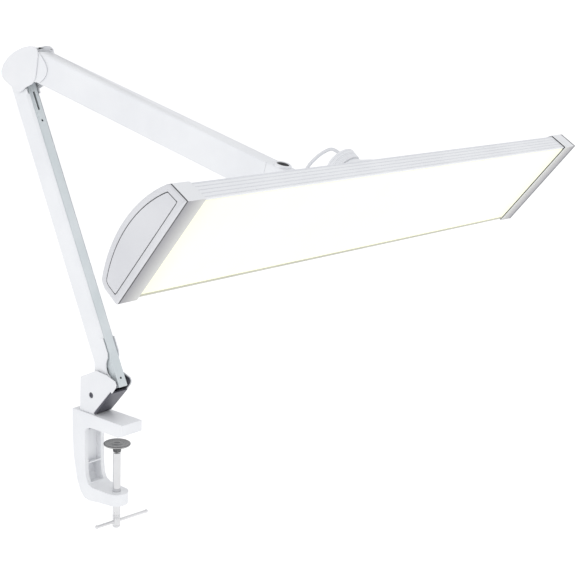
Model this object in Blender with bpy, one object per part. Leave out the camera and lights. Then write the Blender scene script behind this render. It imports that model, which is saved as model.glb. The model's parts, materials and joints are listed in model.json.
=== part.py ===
"""Clamp-on swing arm desk lamp with a long LED head.

World frame: metres, +Z up, +X from the clamp's spine along the jaw and towards the head, Y across.
The origin is where the clamp screw's axis meets the jaw's underside. The lamp is modelled in a pose
with its lower arm leaning back, its upper arm sloping down and its head tilted towards the desk.
Lengths below are millimetres; the mesh helpers turn them into metres.
"""
import math

import bmesh
import bpy
from mathutils import Vector

MM = 0.001
GAP = 0.3                        # clearance between pieces that touch

# clamp
CLAMP_WIDTH = 25.4
JAW_TOP = 13.7
JAW_FRONT = 21.0
SPINE_BACK = -51.5
SPINE_FRONT = -33.0
FLANGE_WALL = 4.6
LOWER_JAW_TOP = -62.5
LOWER_JAW_BOTTOM = -74.4
BOSS_RADIUS = 11.6
SCREW_RADIUS = 3.8
SCREW_TOP = -16.4
SCREW_BOTTOM = -101.0
PAD_TOP = -12.0
PAD_RADIUS = 13.4
BAR_RADIUS = 1.6
BAR_HEIGHT = -94.5
BAR_HALF_LENGTH = 32.0
BAR_SHIFT = 6.8
BAR_TURN = -5.6                  # degrees about the screw

# layers across the arms, as distances from the middle plane
SHELL_OUTER = 8.1
SHELL_INNER = 6.9
CHANNEL_OUTER = 5.25
CHANNEL_INNER = 4.05
CHEEK_INNER = 8.5
CHEEK_OUTER = 9.3
COVER_INNER = 9.6
COVER_OUTER = 10.6
SHEET = 1.2

# base and swivel
SWIVEL_X = -32.0
FLOOR_BOTTOM = 14.7
FLOOR_TOP = 16.9
WEB_THICK = 1.8
COVER_SCREW = (-26.6, 32.6)

# linkage: pivots in the XZ plane
LOWER_LEAN = 26.0                # degrees behind the vertical
LOWER_LENGTH = 312.0
BASE_REAR = (-9.8, 50.0)
LINK_OFFSET = 12.2               # front pivots sit this far ahead of the rear pivots
REAR_PIN = 2.5
FRONT_PIN = 2.2
UPPER_DROP = 13.8                # degrees below the horizontal
UPPER_PIVOT = (-118.0, 343.0)
UPPER_PIN = 3.0

# lower arm section, measured from the rear pivots
LOWER_BACK = -6.2
LOWER_FRONT = 15.2
LIP_FOOT = 40.0                  # the flanges' lips start and end at these distances up the arm
LIP_TOP = 290.0
LIP_BACK = 11.6
LIP_INNER = 5.6

# upper arm section, measured from its pivot
UPPER_TOP = 17.6
UPPER_BOTTOM = -11.6
BORE_U = 319.3
NOSE_U = 333.0
BLOCK_START = 308.3
BLOCK_BOTTOM = 1.0
BUSH_TOP = 19.8
BUSH_RADIUS = 7.4
POST_RADIUS = 4.5

# head
HEAD_FRONT_TOP = (331.7, 298.7)  # front top corner of the end caps in the XZ plane
HEAD_AIM = 38.46                 # degrees that the light aims below the horizontal
HEAD_HALF = 254.0
HEAD_WIDTH = 97.0
CAP_SLEEVE = 19.0
CAP_PROUD = 1.2
PLATE_THICK = 2.7
BACK_MIDDLE = (50.0, 31.6)       # where the turning joint's axis meets the back
CROWN = 30.3                     # depth of the curved back at its middle
CROWN_RADIUS = 99.0
TILT_PIVOT = (246.3, 277.2)
TILT_PIN = 2.5
SPIN_PLANE = 17.2                # height over the head's back of the turning joint


# ---------------------------------------------------------------- frames
BUTTON_Y = 62.0
BUTTON_RADIUS = 6.0
LEAD_DIAMETER = 2.8
LEAD_ROUTE = [
    (214.6, 0.0, 265.0),
    (216.8, -0.3, 272.4),
    (220.0, -0.6, 280.6),
    (224.4, -0.8, 287.6),
    (230.0, -1.0, 293.4),
    (236.3, -1.0, 298.5),
    (242.4, -0.8, 302.2),
    (247.0, -0.6, 303.6),
    (250.9, -0.4, 302.9),
    (254.4, -0.2, 301.2),
    (257.4, 0.0, 298.9),
]


class Plane:
    """A 2D frame in the XZ plane: an origin and two unit directions."""

    def __init__(self, origin, s_dir, t_dir):
        self.origin = origin
        self.s_dir = s_dir
        self.t_dir = t_dir

    def point(self, s, t):
        x = self.origin[0] + s * self.s_dir[0] + t * self.t_dir[0]
        z = self.origin[1] + s * self.s_dir[1] + t * self.t_dir[1]
        return (x, z)


def turned(angle):
    return (math.cos(math.radians(angle)), math.sin(math.radians(angle)))


WORLD = Plane((0.0, 0.0), (1.0, 0.0), (0.0, 1.0))
LOWER = Plane(BASE_REAR, turned(90.0 + LOWER_LEAN), turned(LOWER_LEAN))
UPPER = Plane(UPPER_PIVOT, turned(-UPPER_DROP), turned(90.0 - UPPER_DROP))
HEAD = Plane(HEAD_FRONT_TOP, turned(-90.0 - HEAD_AIM), turned(180.0 - HEAD_AIM))

BASE_FRONT = (BASE_REAR[0] + LINK_OFFSET, BASE_REAR[1])
ELBOW_REAR = LOWER.point(LOWER_LENGTH, 0.0)
ELBOW_FRONT = (ELBOW_REAR[0] + LINK_OFFSET, ELBOW_REAR[1])
FRONT_S = LINK_OFFSET * LOWER.s_dir[0]
FRONT_T = LINK_OFFSET * LOWER.t_dir[0]
BACK_CENTRE = HEAD.point(*BACK_MIDDLE)


def lift(point, y=0.0):
    """A point of the XZ plane as a 3D vector in millimetres."""
    return Vector((point[0], y, point[1]))


BACK_AXIS = lift(HEAD.t_dir)
BORE_AXIS = lift(UPPER.t_dir)


# ---------------------------------------------------------------- materials
def material(name, color, roughness, metallic=0.0):
    mat = bpy.data.materials.new(name)
    mat.use_nodes = True
    shader = mat.node_tree.nodes["Principled BSDF"]
    shader.inputs["Base Color"].default_value = (*color, 1.0)
    shader.inputs["Roughness"].default_value = roughness
    shader.inputs["Metallic"].default_value = metallic
    return mat


def make_materials():
    return {
        "white_paint": material("white_paint", (0.86, 0.87, 0.9), 0.35),
        "white_plastic": material("white_plastic", (0.84, 0.84, 0.87), 0.4),
        "silver_paint": material("silver_paint", (0.62, 0.66, 0.69), 0.4, 0.5),
        "dark_steel": material("dark_steel", (0.1, 0.1, 0.12), 0.5, 0.4),
        "zinc": material("zinc", (0.7, 0.7, 0.7), 0.3, 1.0),
        "chrome": material("chrome", (0.8, 0.8, 0.8), 0.1, 1.0),
        "pad_steel": material("pad_steel", (0.16, 0.16, 0.17), 0.35, 0.9),
        "nylon": material("nylon", (0.08, 0.08, 0.08), 0.5),
        "diffuser": material("diffuser", (1.0, 1.0, 0.95), 0.3),
        "aluminium": material("aluminium", (0.75, 0.76, 0.78), 0.35, 1.0),
        "circuit": material("circuit", (0.9, 0.9, 0.88), 0.5),
        "cable": material("cable", (0.85, 0.85, 0.86), 0.45),
    }


# ---------------------------------------------------------------- mesh helpers
def finish(name, bm, mat, origin=(0.0, 0.0, 0.0), smooth=False):
    """Turn a bmesh in world millimetres into an object whose origin is at the given point."""
    bmesh.ops.recalc_face_normals(bm, faces=bm.faces)
    shift = Vector(origin)
    for vert in bm.verts:
        vert.co = (vert.co - shift) * MM
    mesh = bpy.data.meshes.new(name)
    bm.to_mesh(mesh)
    bm.free()
    mesh.materials.append(mat)
    if smooth:
        mesh.shade_smooth()
        mesh.set_sharp_from_angle(angle=math.radians(35))
    obj = bpy.data.objects.new(name, mesh)
    obj.location = shift * MM
    bpy.context.scene.collection.objects.link(obj)
    return obj


def add_prism(bm, outline, y0, y1, plane=WORLD):
    """Add a polygon of the given plane, extruded along Y."""
    near = []
    far = []
    for s, t in outline:
        point = plane.point(s, t)
        near.append(bm.verts.new(lift(point, y0)))
        far.append(bm.verts.new(lift(point, y1)))
    bm.faces.new(near)
    bm.faces.new(list(reversed(far)))
    count = len(outline)
    for i in range(count):
        j = (i + 1) % count
        bm.faces.new((near[i], far[i], far[j], near[j]))


def prism(name, outline, y0, y1, mat, plane=WORLD, origin=(0.0, 0.0, 0.0)):
    bm = bmesh.new()
    add_prism(bm, outline, y0, y1, plane)
    return finish(name, bm, mat, origin)


def add_column(bm, outline, z0, z1):
    """Add a polygon of the XY plane, extruded along Z."""
    low = [bm.verts.new((x, y, z0)) for x, y in outline]
    high = [bm.verts.new((x, y, z1)) for x, y in outline]
    bm.faces.new(low)
    bm.faces.new(list(reversed(high)))
    count = len(outline)
    for i in range(count):
        j = (i + 1) % count
        bm.faces.new((low[i], high[i], high[j], low[j]))


def lathe(name, profile, base, axis, mat, segments=24, closed=False, origin=(0.0, 0.0, 0.0)):
    """Turn a profile of (radius, height) points about an axis; closed makes a ring of it."""
    bm = bmesh.new()
    axis = Vector(axis).normalized()
    side = axis.orthogonal().normalized()
    other = axis.cross(side)
    rings = []
    for radius, height in profile:
        centre = Vector(base) + axis * height
        if radius < 1e-6:
            rings.append([bm.verts.new(centre)])
            continue
        ring = []
        for k in range(segments):
            angle = 2 * math.pi * k / segments
            ring.append(bm.verts.new(centre + (side * math.cos(angle) + other * math.sin(angle)) * radius))
        rings.append(ring)
    pairs = list(zip(rings, rings[1:]))
    if closed:
        pairs.append((rings[-1], rings[0]))
    for lower, upper in pairs:
        for k in range(segments):
            j = (k + 1) % segments
            if len(lower) == 1:
                bm.faces.new((lower[0], upper[j], upper[k]))
            elif len(upper) == 1:
                bm.faces.new((lower[k], lower[j], upper[0]))
            else:
                bm.faces.new((lower[k], lower[j], upper[j], upper[k]))
    return finish(name, bm, mat, origin, smooth=True)


def rod(name, radius, start, end, mat, segments=20, chamfer=0.3, origin=(0.0, 0.0, 0.0)):
    """A round bar from start to end with chamfered ends."""
    start = Vector(start)
    axis = Vector(end) - start
    length = axis.length
    profile = [
        (0.0, 0.0),
        (radius - chamfer, 0.0),
        (radius, chamfer),
        (radius, length - chamfer),
        (radius - chamfer, length),
        (0.0, length),
    ]
    return lathe(name, profile, start, axis, mat, segments, origin=origin)


def ring(name, inner, outer, start, thickness, axis, mat, segments=24):
    profile = [(inner, 0.0), (outer, 0.0), (outer, thickness), (inner, thickness)]
    return lathe(name, profile, start, axis, mat, segments, closed=True)


def hexagon(name, radius, start, height, axis, mat, bore=0.0):
    if bore:
        profile = [(bore, 0.0), (radius, 0.0), (radius, height), (bore, height)]
        nut = lathe(name, profile, start, axis, mat, 6, closed=True)
        return nut
    return lathe(name, [(0.0, 0.0), (radius, 0.0), (radius, height), (0.0, height)], start, axis, mat, 6)


def change(obj, tool, operation):
    """Cut the tool from the object, or join it on, and leave the tool as a hidden guide."""
    tool.hide_render = True
    tool.display_type = "WIRE"
    boolean = obj.modifiers.new(tool.name, "BOOLEAN")
    boolean.object = tool
    boolean.operation = operation
    boolean.solver = "EXACT"


def cut(obj, tool):
    change(obj, tool, "DIFFERENCE")


def join(obj, tool):
    change(obj, tool, "UNION")


def drill(obj, radius, start, end, mat, segments=20):
    """Cut a round hole from start to end."""
    tool = rod(obj.name + "_drill", radius, start, end, mat, segments, chamfer=0.0001)
    cut(obj, tool)


def drill_across(obj, radius, centre, mat, reach=14.0):
    """Cut a round hole along Y at a point of the XZ plane."""
    drill(obj, radius, lift(centre, -reach), lift(centre, reach), mat)


def arc(centre, radius, start, stop, steps):
    """Points on a circle in 2D from one angle to another, in degrees."""
    points = []
    for k in range(steps + 1):
        angle = math.radians(start + (stop - start) * k / steps)
        points.append((centre[0] + radius * math.cos(angle), centre[1] + radius * math.sin(angle)))
    return points


def inset(outline, amount):
    """Move a polygon's sides inwards by an amount; the outline may run either way round."""
    count = len(outline)
    area = 0.0
    for i in range(count):
        x0, y0 = outline[i]
        x1, y1 = outline[(i + 1) % count]
        area += x0 * y1 - x1 * y0
    turn = 1.0 if area > 0 else -1.0
    moved = []
    for i in range(count):
        before = Vector(outline[i - 1])
        here = Vector(outline[i])
        after = Vector(outline[(i + 1) % count])
        first = (here - before).normalized()
        second = (after - here).normalized()
        normal_a = Vector((-first.y, first.x)) * turn
        normal_b = Vector((-second.y, second.x)) * turn
        middle = (normal_a + normal_b).normalized()
        reach = amount / max(0.35, middle.dot(normal_a))
        moved.append(tuple(here + middle * reach))
    return moved


# ---------------------------------------------------------------- clamp
def clamp_outline():
    """Side view of the cast clamp frame."""
    return [
        (SPINE_BACK, JAW_TOP),
        (JAW_FRONT, JAW_TOP),
        (JAW_FRONT, 2.8),
        (14.0, 0.0),
        (-22.0, 0.0),
        (-29.0, -1.2),
        (SPINE_FRONT, -4.2),
        (-32.4, -43.0),
        (-31.0, -54.0),
        (-28.0, -60.0),
        (-22.0, LOWER_JAW_TOP),
        (14.0, LOWER_JAW_TOP),
        (14.0, LOWER_JAW_BOTTOM),
        (0.0, LOWER_JAW_BOTTOM),
        (-26.0, -77.0),
        (-33.3, -76.2),
        (-39.3, -70.3),
        (-44.4, -58.9),
        (-49.4, -35.7),
        (-51.2, -15.0),
    ]


def make_clamp_frame(mats):
    frame = prism("clamp_frame", clamp_outline(), -CLAMP_WIDTH / 2, CLAMP_WIDTH / 2, mats["white_paint"])
    half = CLAMP_WIDTH / 2
    # the lower jaw narrows to a round boss about the screw
    plan = [(-28.0, -20.0), (20.0, -20.0), (20.0, 20.0), (-28.0, 20.0), (-28.0, half + 0.01)]
    plan += list(reversed(arc((0.0, 0.0), BOSS_RADIUS, -95.0, 95.0, 18)))
    plan += [(-28.0, -half - 0.01)]
    bm = bmesh.new()
    add_column(bm, plan, -90.0, -50.0)
    cut(frame, finish("clamp_jaw_plan", bm, mats["white_paint"]))
    # cast pockets between the spine's flanges
    pocket_half = half - FLANGE_WALL
    pocket = [(-38.6, -7.0), (-28.0, -7.0), (-28.0, -38.6), (-38.6, -41.0)]
    cut(frame, prism("clamp_pocket", pocket, -pocket_half, pocket_half, mats["white_paint"]))
    deep = [(-45.2, -42.6), (-28.0, -40.2), (-28.0, -59.6), (-30.0, -61.0), (-38.0, -61.0), (-42.0, -55.0)]
    cut(frame, prism("clamp_deep_pocket", deep, -pocket_half, pocket_half, mats["white_paint"]))
    # recess for the swivel nut, and the bores
    recess = [(-41.5, 5.8), (-23.5, 5.8), (-23.5, -8.0), (-41.5, -8.0)]
    cut(frame, prism("clamp_nut_recess", recess, -7.4, 7.4, mats["white_paint"]))
    drill(frame, 4.1, (SWIVEL_X, 0.0, 2.0), (SWIVEL_X, 0.0, 20.0), mats["white_paint"])
    drill(frame, SCREW_RADIUS + GAP, (0.0, 0.0, -90.0), (0.0, 0.0, -50.0), mats["white_paint"], 24)


def make_pad(mats):
    profile = [
        (0.0, PAD_TOP),
        (PAD_RADIUS - 0.5, PAD_TOP),
        (PAD_RADIUS, PAD_TOP - 0.6),
        (PAD_RADIUS - 0.2, PAD_TOP - 1.8),
        (8.6, PAD_TOP - 4.4),
        (5.8, PAD_TOP - 6.4),
        (5.6, PAD_TOP - 9.0),
        (SCREW_RADIUS + GAP, PAD_TOP - 9.0),
        (SCREW_RADIUS + GAP, SCREW_TOP + GAP),
        (0.0, SCREW_TOP + GAP),
    ]
    lathe("pressure_pad", profile, (0, 0, 0), (0, 0, 1), mats["pad_steel"], 32)


def bar_direction():
    angle = math.radians(90.0 + BAR_TURN)
    return Vector((math.cos(angle), math.sin(angle), 0.0))


def make_screw(mats):
    screw = rod("clamp_screw", SCREW_RADIUS, (0, 0, SCREW_BOTTOM), (0, 0, SCREW_TOP), mats["chrome"], 24, 0.8)
    reach = bar_direction() * 8.0
    middle = Vector((0.0, 0.0, BAR_HEIGHT))
    drill(screw, BAR_RADIUS + GAP, middle - reach, middle + reach, mats["chrome"], 14)


def make_bar(mats):
    half = BAR_HALF_LENGTH
    knob = BAR_RADIUS + 0.3
    profile = [
        (0.0, -half),
        (knob - 0.6, -half),
        (knob, -half + 0.6),
        (knob, -half + 2.0),
        (BAR_RADIUS, -half + 2.6),
        (BAR_RADIUS, half - 2.6),
        (knob, half - 2.0),
        (knob, half - 0.6),
        (knob - 0.6, half),
        (0.0, half),
    ]
    direction = bar_direction()
    middle = Vector((0.0, 0.0, BAR_HEIGHT)) + direction * BAR_SHIFT
    lathe("tommy_bar", profile, middle, direction, mats["chrome"], 14, origin=middle)


# ---------------------------------------------------------------- base
def ear_outline():
    """Side view of the base bracket and its covers."""
    return [
        (-42.8, 13.9),
        (-21.2, 13.9),
        (3.4, 42.0),
        (8.4, 48.4),
        (9.0, 51.6),
        (7.2, 54.6),
        (-4.0, 58.0),
        (-19.5, 59.4),
        (-42.2, 48.2),
    ]


def web_outline(extra):
    """The slanted front web: its outer face lies on the ears' front edge."""
    foot = Vector((-21.2, 13.9))
    top = Vector((2.6, 41.1))
    along = (top - foot).normalized()
    inward = Vector((-along.y, along.x)) * (WEB_THICK + extra)
    return [tuple(foot), tuple(top), tuple(top + inward), tuple(foot + inward + along * 0.6)]


def make_base_bracket(mats):
    steel = mats["dark_steel"]
    outline = inset(ear_outline(), 0.9)
    bracket = prism("base_bracket", outline, -CHEEK_OUTER, CHEEK_OUTER, steel)
    inner = [
        (-60.0, FLOOR_TOP),
        (-21.5, FLOOR_TOP),
        (-19.6, 18.4),
        (1.4, 42.4),
        (14.0, 42.4),
        (14.0, 80.0),
        (-60.0, 80.0),
    ]
    cut(bracket, prism("base_inner", inner, -CHEEK_INNER, CHEEK_INNER, steel))
    join(bracket, prism("base_web", web_outline(0.0), -COVER_OUTER + 0.1, COVER_OUTER - 0.1, steel))
    drill(bracket, 4.1, (SWIVEL_X, 0.0, 10.0), (SWIVEL_X, 0.0, 20.0), steel)
    drill_across(bracket, REAR_PIN + GAP, BASE_REAR, steel)
    drill_across(bracket, FRONT_PIN + GAP, BASE_FRONT, steel)
    drill_across(bracket, 1.8, COVER_SCREW, steel)
    under = [(-60.0, 0.0), (10.0, 0.0), (10.0, FLOOR_BOTTOM), (-60.0, FLOOR_BOTTOM)]
    cut(bracket, prism("base_under", under, -20.0, 20.0, steel))


def make_base_cover(mats, name, sign):
    low, high = sorted((sign * COVER_INNER, sign * COVER_OUTER))
    cover = prism(name, ear_outline(), low, high, mats["white_plastic"])
    notch = prism(name + "_notch", inset(web_outline(0.0), -GAP), -20.0, 20.0, mats["white_plastic"])
    cut(cover, notch)
    drill_across(cover, 2.9, COVER_SCREW, mats["white_plastic"])


def make_cover_screw(mats, name, sign):
    profile = [
        (0.0, 0.0),
        (1.4, 0.0),
        (1.4, 3.0),
        (2.5, 3.0),
        (2.5, 3.9),
        (1.2, 3.9),
        (0.9, 3.3),
        (0.0, 3.3),
    ]
    lathe(name, profile, lift(COVER_SCREW, sign * 6.6), (0, sign, 0), mats["dark_steel"], 16)


def make_swivel(mats):
    x = SWIVEL_X
    profile = [
        (0.0, 0.6),
        (3.5, 0.6),
        (3.8, 0.9),
        (3.8, FLOOR_TOP + GAP),
        (6.4, FLOOR_TOP + GAP),
        (6.4, FLOOR_TOP + 3.6),
        (5.8, FLOOR_TOP + 4.2),
        (0.0, FLOOR_TOP + 4.2),
    ]
    lathe("swivel_bolt", profile, (x, 0, 0), (0, 0, 1), mats["zinc"], 20)
    ring("swivel_washer", 4.2, 9.2, (x, 0, JAW_TOP + 0.2), 0.6, (0, 0, 1), mats["nylon"])
    ring("swivel_lock_washer", 4.1, 6.6, (x, 0, 4.6), 0.9, (0, 0, 1), mats["zinc"])
    hexagon("swivel_nut", 6.6, (x, 0, 0.8), 3.5, (0, 0, 1), mats["zinc"], bore=4.8)


def make_grommet(mats):
    """Plug that closes the cable outlet low on the back of the base."""
    lathe(
        "cable_grommet",
        [(1.9, 0.0), (5.6, 0.0), (6.0, 0.5), (6.0, 5.0), (4.2, 9.0), (3.0, 9.5), (1.9, 9.5)],
        (-38.0, 0.0, 27.0),
        (-1, 0, 0),
        mats["nylon"],
        18,
        closed=True,
    )


# ---------------------------------------------------------------- lower arm
def lower_shell_outline():
    top = (LOWER_LENGTH, 0.0)
    outline = [
        (-9.6, 0.0),
        (-9.2, -4.6),
        (-3.6, -10.4),
        (3.0, -12.4),
        (8.1, -12.1),
        (14.0, -9.2),
        (21.0, LOWER_BACK),
        (LOWER_LENGTH - 6.2, LOWER_BACK),
    ]
    outline += arc(top, 8.6, -30.0, 145.0, 12)
    outline += [
        (LOWER_LENGTH - 14.5, 9.8),
        (LOWER_LENGTH - 17.0, LOWER_FRONT),
        (25.0, LOWER_FRONT),
        (20.5, 13.6),
        (16.3, 9.3),
        (11.8, 7.4),
        (6.6, 7.0),
        (3.0, 9.0),
        (-2.0, 9.2),
        (-6.2, 7.1),
        (-8.8, 3.5),
    ]
    return outline


def lip_bevel(name, side, mat):
    """Wedge that bevels one front corner of the lower arm."""
    bm = bmesh.new()
    section = [(LIP_INNER - 1.0, LOWER_FRONT + 0.9), (SHELL_OUTER + 3.0, 9.4), (SHELL_OUTER + 6.0, LOWER_FRONT + 6.0)]
    ends = []
    for s in (LIP_FOOT, LIP_TOP):
        ends.append([bm.verts.new(lift(LOWER.point(s, t), side * y)) for y, t in section])
    bm.faces.new(ends[0])
    bm.faces.new(list(reversed(ends[1])))
    for i in range(3):
        j = (i + 1) % 3
        bm.faces.new((ends[0][i], ends[1][i], ends[1][j], ends[0][j]))
    return finish(name, bm, mat)


def make_lower_shell(mats):
    paint = mats["white_paint"]
    origin = lift(BASE_REAR)
    shell = prism("lower_arm_shell", lower_shell_outline(), -SHELL_OUTER, SHELL_OUTER, paint, LOWER, origin)
    inner = [
        (-40.0, -30.0),
        (8.0, -30.0),
        (8.6, -10.8),
        (14.5, -8.0),
        (21.2, LOWER_BACK + SHEET),
        (340.0, LOWER_BACK + SHEET),
        (340.0, 40.0),
        (LIP_TOP, 40.0),
        (LIP_TOP, LIP_BACK),
        (LIP_FOOT, LIP_BACK),
        (LIP_FOOT, 40.0),
        (-40.0, 40.0),
    ]
    cut(shell, prism("lower_shell_inner", inner, -SHELL_INNER, SHELL_INNER, paint, LOWER))
    # above the foot the flanges fold in as bevelled lips that leave a slot for the channel
    slot = [(LIP_FOOT - 1.0, 0.0), (LIP_TOP + 1.0, 0.0), (LIP_TOP + 1.0, 40.0), (LIP_FOOT - 1.0, 40.0)]
    cut(shell, prism("lower_shell_slot", slot, -LIP_INNER, LIP_INNER, paint, LOWER))
    for side in (-1, 1):
        bevel = lip_bevel(f"lower_shell_bevel_{side + 2}", side, paint)
        cut(shell, bevel)
    drill_across(shell, REAR_PIN + GAP, BASE_REAR, paint)
    drill_across(shell, REAR_PIN + GAP, ELBOW_REAR, paint)


def make_lower_channel(mats):
    paint = mats["silver_paint"]
    low = (FRONT_S, FRONT_T)
    high = (LOWER_LENGTH + FRONT_S, FRONT_T)
    outline = [(-10.0, LOWER_FRONT), (-10.0, LOWER_FRONT - SHEET)]
    outline += arc(low, 4.2, 150.0, 270.0, 6)
    outline += [(2.0, 6.6), (LOWER_LENGTH - 10.0, 6.6)]
    outline += arc(high, 4.2, 270.0, 380.0, 6)
    outline += [(LOWER_LENGTH - 1.0, LOWER_FRONT)]
    origin = lift(BASE_FRONT)
    channel = prism("lower_arm_channel", outline, -CHANNEL_OUTER, CHANNEL_OUTER, paint, LOWER, origin)
    inner = [(-40.0, -10.0), (360.0, -10.0), (360.0, LOWER_FRONT - SHEET), (-40.0, LOWER_FRONT - SHEET)]
    cut(channel, prism("channel_inner", inner, -CHANNEL_INNER, CHANNEL_INNER, paint, LOWER))
    drill_across(channel, FRONT_PIN + GAP, BASE_FRONT, paint)
    drill_across(channel, FRONT_PIN + GAP, ELBOW_FRONT, paint)
    slot = [(273.0, 10.0), (292.0, 10.0), (292.0, 20.0), (273.0, 20.0)]
    cut(channel, prism("channel_slot", slot, -1.2, 1.2, paint, LOWER))
    for place in (262.0, -1.2):
        start = lift(LOWER.point(place, LOWER_FRONT - 5.0))
        end = lift(LOWER.point(place, LOWER_FRONT + 5.0))
        drill(channel, 1.3, start, end, paint, 12)


def spring_points(plane, s0, s1, t_mid, radius, turns, per_turn):
    """Centre line of an extension spring that lies along an arm."""
    points = []
    steps = turns * per_turn
    for k in range(steps + 1):
        angle = 2 * math.pi * k / per_turn
        s = s0 + (s1 - s0) * k / steps
        x, z = plane.point(s, t_mid + radius * math.cos(angle))
        points.append(Vector((x, radius * math.sin(angle), z)))
    return points


def wire_tube(name, points, radius, mat, sides=1):
    """A round wire along a list of points, as a curve with filled ends."""
    curve = bpy.data.curves.new(name, "CURVE")
    curve.dimensions = "3D"
    curve.bevel_depth = radius * MM
    curve.bevel_resolution = sides
    curve.use_fill_caps = True
    spline = curve.splines.new("POLY")
    spline.points.add(len(points) - 1)
    for slot, point in zip(spline.points, points):
        slot.co = (*(point * MM), 1.0)
    curve.materials.append(mat)
    obj = bpy.data.objects.new(name, curve)
    bpy.context.scene.collection.objects.link(obj)
    return obj


def make_lower_inside(mats):
    points = spring_points(LOWER, 60.0, 246.0, -0.7, 3.2, 26, 8)
    wire_tube("lower_spring", points, 0.55, mats["zinc"])
    for name, place in (("lower_spring_pin_top", 252.0), ("lower_spring_pin_bottom", 54.0)):
        centre = LOWER.point(place, -0.7)
        rod(name, 1.5, lift(centre, -SHELL_INNER + GAP), lift(centre, SHELL_INNER - GAP), mats["zinc"], 12)
    route = [LOWER.point(s, 3.2) for s in range(40, 281, 8)]
    wire_tube("lower_arm_wire", [lift(point, 5.9 - 1.5) for point in route], 0.9, mats["cable"], 2)


# ---------------------------------------------------------------- elbow
def elbow_outline():
    """Side view of the elbow covers: round at the back, flat towards the upper arm."""
    return [
        (-160.4, 331.6),
        (-161.0, 336.5),
        (-157.6, 343.2),
        (-150.0, 350.6),
        (-140.0, 356.6),
        (-128.0, 361.2),
        (-117.0, 363.4),
        (-110.6, 363.2),
        (-106.4, 360.6),
        (-105.0, 355.6),
        (-108.4, 336.0),
        (-110.4, 331.0),
        (-114.0, 327.6),
        (-125.0, 322.6),
        (-131.6, 318.4),
        (-137.6, 318.2),
        (-147.0, 323.2),
        (-157.0, 328.2),
    ]


def band(outline, first, last, outer_inset, inner_inset):
    """A strip that follows part of an outline between two insets."""
    outer = inset(outline, outer_inset)[first:last]
    inner = inset(outline, inner_inset)[first:last]
    return outer + list(reversed(inner))


def cheek_outline():
    """Elbow bracket cheeks, which reach past the covers round the upper arm's pivot."""
    cheek = inset(elbow_outline(), 2.0)[:9]
    cheek += [
        (-101.0, 354.2),
        (-96.0, 348.6),
        (-93.6, 344.6),
        (-93.2, 341.0),
        (-94.6, 337.0),
        (-98.6, 332.8),
        (-104.6, 329.2),
    ]
    cheek += inset(elbow_outline(), 2.0)[12:]
    return cheek


def make_elbow_bracket(mats):
    paint = mats["white_paint"]
    bracket = prism("elbow_bracket", cheek_outline(), -CHEEK_OUTER, CHEEK_OUTER, paint)
    keep = inset(elbow_outline(), 3.4)
    inner = keep[2:6] + [(-126.0, 420.0), (-40.0, 420.0), (-40.0, 260.0), (-240.0, 260.0), (-240.0, 341.6)]
    cut(bracket, prism("elbow_inner", inner, -CHEEK_INNER, CHEEK_INNER, paint))
    drill_across(bracket, REAR_PIN + GAP, ELBOW_REAR, paint)
    drill_across(bracket, FRONT_PIN + GAP, ELBOW_FRONT, paint)
    drill_across(bracket, UPPER_PIN + GAP, UPPER_PIVOT, paint)


def make_elbow_cover(mats, name, sign):
    plastic = mats["white_plastic"]
    low, high = sorted((sign * COVER_INNER, sign * COVER_OUTER))
    cover = prism(name, elbow_outline(), low, high, plastic)
    low, high = sorted((sign * 0.2, sign * (COVER_INNER + 0.4)))
    rim = band(elbow_outline(), 0, 6, 0.01, 1.4)
    join(cover, prism(name + "_rim", rim, low, high, plastic))


def make_pin(mats, name, centre, radius):
    reach = CHEEK_OUTER
    rod(name, radius, lift(centre, -reach), lift(centre, reach), mats["zinc"], 18)


# ---------------------------------------------------------------- upper arm
def make_upper_shell(mats):
    paint = mats["white_paint"]
    outline = [(7.0, UPPER_TOP)]
    outline += arc((0.0, 0.0), 9.4, 125.0, 250.0, 8)
    outline += [
        (14.0, UPPER_BOTTOM),
        (286.0, UPPER_BOTTOM),
        (300.0, BLOCK_BOTTOM),
        (BLOCK_START - GAP, BLOCK_BOTTOM),
        (BLOCK_START - GAP, UPPER_TOP),
    ]
    shell = prism(
        "upper_arm_shell", outline, -SHELL_OUTER, SHELL_OUTER, paint, UPPER, lift(UPPER_PIVOT)
    )
    inner = [
        (-40.0, 60.0),
        (8.0, 60.0),
        (8.0, UPPER_TOP - SHEET),
        (340.0, UPPER_TOP - SHEET),
        (340.0, -60.0),
        (-40.0, -60.0),
    ]
    cut(shell, prism("upper_shell_inner", inner, -SHELL_INNER, SHELL_INNER, paint, UPPER))
    drill_across(shell, UPPER_PIN + GAP, UPPER_PIVOT, paint)


def make_upper_cover(mats):
    paint = mats["silver_paint"]
    half = SHELL_INNER - GAP
    low = UPPER_BOTTOM - 0.2
    outline = [(34.0, low), (282.0, low), (282.0, low + 7.0), (34.0, low + 7.0)]
    cover = prism("upper_arm_cover", outline, -half, half, paint, UPPER, lift(UPPER_PIVOT))
    inner = [(20.0, low + 1.0), (300.0, low + 1.0), (300.0, low + 20.0), (20.0, low + 20.0)]
    cut(cover, prism("upper_cover_inner", inner, -half + 1.0, half - 1.0, paint, UPPER))
    down = -BORE_AXIS
    for name, place in (("upper_cover_screw_inner", 60.0), ("upper_cover_screw_outer", 262.0)):
        start = lift(UPPER.point(place, low - 4.0))
        end = lift(UPPER.point(place, low + 4.0))
        drill(cover, 1.7, start, end, paint, 12)
        top = lift(UPPER.point(place, low + 6.0))
        profile = [(0.0, 0.0), (1.4, 0.0), (1.4, 6.3), (2.8, 6.3), (2.6, 7.3), (1.0, 7.3), (0.8, 6.9), (0.0, 6.9)]
        lathe(name, profile, top, down, mats["zinc"], 14)


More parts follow.
